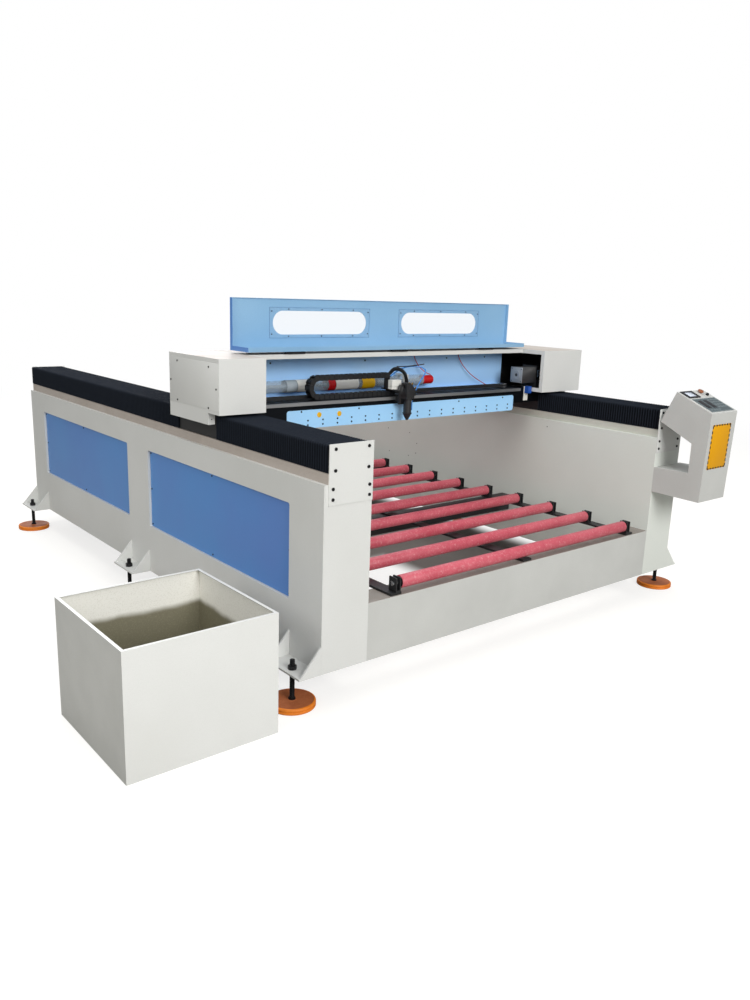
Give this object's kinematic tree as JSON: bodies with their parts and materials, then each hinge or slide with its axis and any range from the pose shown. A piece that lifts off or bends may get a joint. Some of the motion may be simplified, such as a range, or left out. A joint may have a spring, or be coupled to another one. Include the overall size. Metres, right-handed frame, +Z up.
{
  "type": "carbon dioxide laser cutter",
  "caption": "Flatbed laser cutting machine: roller bed between two windowed side walls, travelling gantry with laser tube, chain-fed head and flip-up hood, console and spare box",
  "frame": {"origin": "on the floor, under the middle of the whole object's bounding box, the box beside the machine included", "axes": "+X to the right seen from the console end, +Y along the walls away from the console end, +Z up"},
  "size_m": [3.256, 3.435, 1.5],
  "materials": {
    "cream_paint": "satin",
    "panel_paint": "satin",
    "light_blue_paint": "satin",
    "black_metal": "satin",
    "dark_aluminium": "satin",
    "aluminium": "satin",
    "bright_steel": "satin",
    "black_steel": "satin",
    "zinc": "matte",
    "orange_rubber": "satin",
    "bellows_cloth": "matte",
    "dark_plastic": "satin",
    "belt_rubber": "matte",
    "motor_grey": "satin",
    "blue_plastic": "satin",
    "clear_glass": "polished",
    "clear_pane": "polished",
    "red_rubber": "satin",
    "black_plastic": "matte",
    "white_plastic": "matte",
    "black_rubber": "matte",
    "stop_red": "gloss",
    "roller_red": "satin"
  },
  "bodies": {
    "frame": {"side_frame_left": "cream_paint", "side_frame_right": "cream_paint", "side_panels": "panel_paint", "cross_beams": "cream_paint", "bed_rails": "black_metal", "roller_brackets": "black_metal", "foot_pads": "orange_rubber", "foot_studs": "black_steel", "guides": "bright_steel", "end_plates": "cream_paint", "frame_screws": "black_steel", "front_bellows": "bellows_cloth", "rear_bellows": "bellows_cloth", "console_housing": "cream_paint", "console_panel": "dark_plastic", "accessory_box": "cream_paint", "control_electronics": "zinc"},
    "gantry": {"end_box_left": "cream_paint", "end_box_right": "cream_paint", "trucks": "black_metal", "gantry_beam": "dark_aluminium", "gantry_roof": "cream_paint", "gantry_panels": "light_blue_paint", "x_rail": "bright_steel", "drive_belts": "belt_rubber", "motors": "motor_grey", "limit_switch": "blue_plastic", "laser_tube": "clear_glass", "tube_cap": "red_rubber", "optics_mounts": "aluminium", "tube_wires": "red_rubber", "chain_lower": "black_plastic"},
    "hood": {"hood": "light_blue_paint", "window_panes": "clear_pane"},
    "chain_loop": {"chain_bend": "black_plastic"},
    "carriage": {"chain_upper": "black_plastic", "laser_head": "black_metal", "terminal_block": "white_plastic", "head_hoses": "black_rubber"},
    "lens_tube": {"lens_tube": "dark_aluminium"},
    "x_pulley": {"x_pulley": "aluminium"},
    "x_idler": {"x_idler": "aluminium"},
    "drive_shaft": {"drive_shaft": "bright_steel"},
    "y_pulley": {"y_pulley": "aluminium"},
    "stop_button": {"stop_button": "stop_red"},
    "control_knob": {"control_knob": "black_plastic"},
    "roller_01": {"roller_01": "roller_red"},
    "roller_02": {"roller_02": "roller_red"},
    "roller_03": {"roller_03": "roller_red"},
    "roller_04": {"roller_04": "roller_red"},
    "roller_05": {"roller_05": "roller_red"},
    "roller_06": {"roller_06": "roller_red"},
    "roller_07": {"roller_07": "roller_red"},
    "roller_08": {"roller_08": "roller_red"},
    "roller_09": {"roller_09": "roller_red"},
    "roller_10": {"roller_10": "roller_red"},
    "roller_11": {"roller_11": "roller_red"},
    "roller_12": {"roller_12": "roller_red"},
    "roller_13": {"roller_13": "roller_red"},
    "roller_14": {"roller_14": "roller_red"}
  },
  "joints": [
    {"name": "gantry_slide", "type": "slide", "parent": "frame", "child": "gantry", "axis": [0, 1, 0], "range_m": [-0.644, 1.856], "deforming": ["front_bellows", "rear_bellows"]},
    {"name": "drive_shaft_turn", "type": "hinge", "parent": "gantry", "child": "drive_shaft", "pos_m": [0.317, -0.4705, 0.9495], "axis": [1, 0, 0], "range_deg": [-4727, 1641]},
    {"name": "y_pulley_turn", "type": "hinge", "parent": "gantry", "child": "y_pulley", "pos_m": [1.277, -0.6055, 1.117], "axis": [1, 0, 0], "range_deg": [-9454, 3281]},
    {"name": "hood_hinge", "type": "hinge", "parent": "gantry", "child": "hood", "pos_m": [0.265, -0.5865, 1.264], "axis": [1, 0, 0], "range_deg": [0, 180]},
    {"name": "chain_slide", "type": "slide", "parent": "gantry", "child": "chain_loop", "axis": [1, 0, 0], "range_m": [-0.264, 0.386], "deforming": ["chain_lower"]},
    {"name": "head_slide", "type": "slide", "parent": "chain_loop", "child": "carriage", "axis": [1, 0, 0], "range_m": [-0.264, 0.386], "deforming": ["chain_upper"]},
    {"name": "focus_slide", "type": "slide", "parent": "carriage", "child": "lens_tube", "axis": [0, 0, 1], "range_m": [-0.008, 0.008]},
    {"name": "x_pulley_turn", "type": "hinge", "parent": "gantry", "child": "x_pulley", "pos_m": [-0.718, -0.5645, 1.06], "axis": [0, 0, 1], "range_deg": [-1682, 2458]},
    {"name": "x_idler_turn", "type": "hinge", "parent": "gantry", "child": "x_idler", "pos_m": [1.042, -0.5645, 1.06], "axis": [0, 0, 1], "range_deg": [-1682, 2458]},
    {"name": "stop_button_press", "type": "slide", "parent": "frame", "child": "stop_button", "axis": [0, 0.3922, -0.9199], "range_m": [0, 0.005], "stiffness_N_per_m": 400, "springref_m": -0.004},
    {"name": "control_knob_turn", "type": "hinge", "parent": "frame", "child": "control_knob", "pos_m": [1.452, -1.56833, 1.0926], "axis": [0, -0.3922, 0.9199], "range_deg": [-135, 135]},
    {"name": "roller_01_turn", "type": "hinge", "parent": "frame", "child": "roller_01", "pos_m": [0.317, -1.4105, 0.424], "axis": [1, 0, 0], "continuous": true},
    {"name": "roller_02_turn", "type": "hinge", "parent": "frame", "child": "roller_02", "pos_m": [0.317, -1.17281, 0.424], "axis": [1, 0, 0], "continuous": true},
    {"name": "roller_03_turn", "type": "hinge", "parent": "frame", "child": "roller_03", "pos_m": [0.317, -0.93512, 0.424], "axis": [1, 0, 0], "continuous": true},
    {"name": "roller_04_turn", "type": "hinge", "parent": "frame", "child": "roller_04", "pos_m": [0.317, -0.69742, 0.424], "axis": [1, 0, 0], "continuous": true},
    {"name": "roller_05_turn", "type": "hinge", "parent": "frame", "child": "roller_05", "pos_m": [0.317, -0.45973, 0.424], "axis": [1, 0, 0], "continuous": true},
    {"name": "roller_06_turn", "type": "hinge", "parent": "frame", "child": "roller_06", "pos_m": [0.317, -0.22204, 0.424], "axis": [1, 0, 0], "continuous": true},
    {"name": "roller_07_turn", "type": "hinge", "parent": "frame", "child": "roller_07", "pos_m": [0.317, 0.01565, 0.424], "axis": [1, 0, 0], "continuous": true},
    {"name": "roller_08_turn", "type": "hinge", "parent": "frame", "child": "roller_08", "pos_m": [0.317, 0.25335, 0.424], "axis": [1, 0, 0], "continuous": true},
    {"name": "roller_09_turn", "type": "hinge", "parent": "frame", "child": "roller_09", "pos_m": [0.317, 0.49104, 0.424], "axis": [1, 0, 0], "continuous": true},
    {"name": "roller_10_turn", "type": "hinge", "parent": "frame", "child": "roller_10", "pos_m": [0.317, 0.72873, 0.424], "axis": [1, 0, 0], "continuous": true},
    {"name": "roller_11_turn", "type": "hinge", "parent": "frame", "child": "roller_11", "pos_m": [0.317, 0.96642, 0.424], "axis": [1, 0, 0], "continuous": true},
    {"name": "roller_12_turn", "type": "hinge", "parent": "frame", "child": "roller_12", "pos_m": [0.317, 1.20412, 0.424], "axis": [1, 0, 0], "continuous": true},
    {"name": "roller_13_turn", "type": "hinge", "parent": "frame", "child": "roller_13", "pos_m": [0.317, 1.44181, 0.424], "axis": [1, 0, 0], "continuous": true},
    {"name": "roller_14_turn", "type": "hinge", "parent": "frame", "child": "roller_14", "pos_m": [0.317, 1.6795, 0.424], "axis": [1, 0, 0], "continuous": true}
  ],
  "couplings": [
    {"joint": "drive_shaft_turn", "follows": "gantry_slide", "rad_per_m": -44.444},
    {"joint": "y_pulley_turn", "follows": "gantry_slide", "rad_per_m": -88.889},
    {"joint": "head_slide", "follows": "chain_slide", "ratio": 1},
    {"joint": "x_pulley_turn", "follows": "chain_slide", "rad_per_m": 111.11},
    {"joint": "x_idler_turn", "follows": "chain_slide", "rad_per_m": 111.11}
  ]
}
